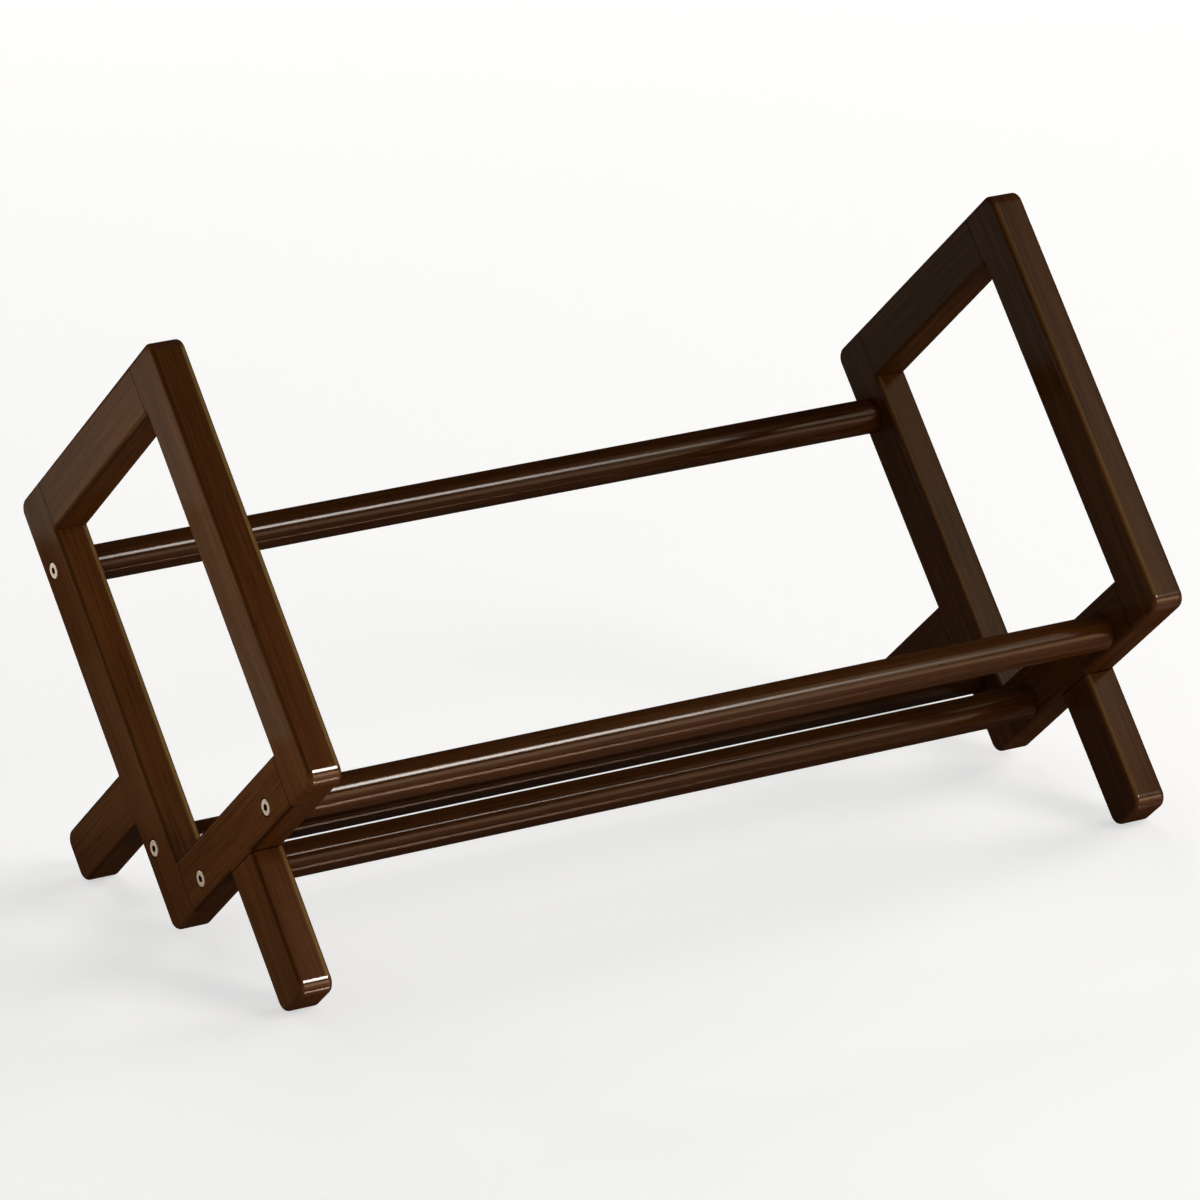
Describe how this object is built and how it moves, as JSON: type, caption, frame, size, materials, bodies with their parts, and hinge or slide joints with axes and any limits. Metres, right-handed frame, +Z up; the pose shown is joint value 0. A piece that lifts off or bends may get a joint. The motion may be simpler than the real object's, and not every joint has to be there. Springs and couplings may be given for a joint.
{
  "type": "desktop bookshelf",
  "caption": "Open desktop bookshelf: tilted wooden side frames on splayed legs, joined by round rails that form a slanted trough for books and files.",
  "frame": {"origin": "on the desk plane, at the centre of the rack's footprint box", "axes": "+X to the right along the rails, -Y to the front, +Z up"},
  "size_m": [0.6, 0.3464, 0.358],
  "materials": {
    "stained_wood": "dark walnut stain under gloss lacquer",
    "bolt_steel": "nickel-plated",
    "insert_brass": "plain",
    "dowel_wood": "bare beech"
  },
  "bodies": {
    "root": {"front_seat_rail": "stained_wood", "rear_seat_rail": "stained_wood", "lower_back_rail": "stained_wood", "upper_back_rail": "stained_wood", "left_front_post": "stained_wood", "left_back_post": "stained_wood", "left_top_bar": "stained_wood", "left_seat_bar": "stained_wood", "left_front_leg": "stained_wood", "left_rear_leg": "stained_wood", "left_front_seat_rail_bolt": "bolt_steel", "left_front_seat_rail_insert": "insert_brass", "left_rear_seat_rail_bolt": "bolt_steel", "left_rear_seat_rail_insert": "insert_brass", "left_lower_back_rail_bolt": "bolt_steel", "left_lower_back_rail_insert": "insert_brass", "left_upper_back_rail_bolt": "bolt_steel", "left_upper_back_rail_insert": "insert_brass", "left_top_bar_front_dowels": "dowel_wood", "left_top_bar_back_dowels": "dowel_wood", "left_seat_bar_front_dowels": "dowel_wood", "left_seat_bar_back_dowels": "dowel_wood", "left_front_leg_dowels": "dowel_wood", "left_rear_leg_dowels": "dowel_wood", "right_front_post": "stained_wood", "right_back_post": "stained_wood", "right_top_bar": "stained_wood", "right_seat_bar": "stained_wood", "right_front_leg": "stained_wood", "right_rear_leg": "stained_wood", "right_front_seat_rail_bolt": "bolt_steel", "right_front_seat_rail_insert": "insert_brass", "right_rear_seat_rail_bolt": "bolt_steel", "right_rear_seat_rail_insert": "insert_brass", "right_lower_back_rail_bolt": "bolt_steel", "right_lower_back_rail_insert": "insert_brass", "right_upper_back_rail_bolt": "bolt_steel", "right_upper_back_rail_insert": "insert_brass", "right_top_bar_front_dowels": "dowel_wood", "right_top_bar_back_dowels": "dowel_wood", "right_seat_bar_front_dowels": "dowel_wood", "right_seat_bar_back_dowels": "dowel_wood", "right_front_leg_dowels": "dowel_wood", "right_rear_leg_dowels": "dowel_wood"}
  },
  "joints": []
}
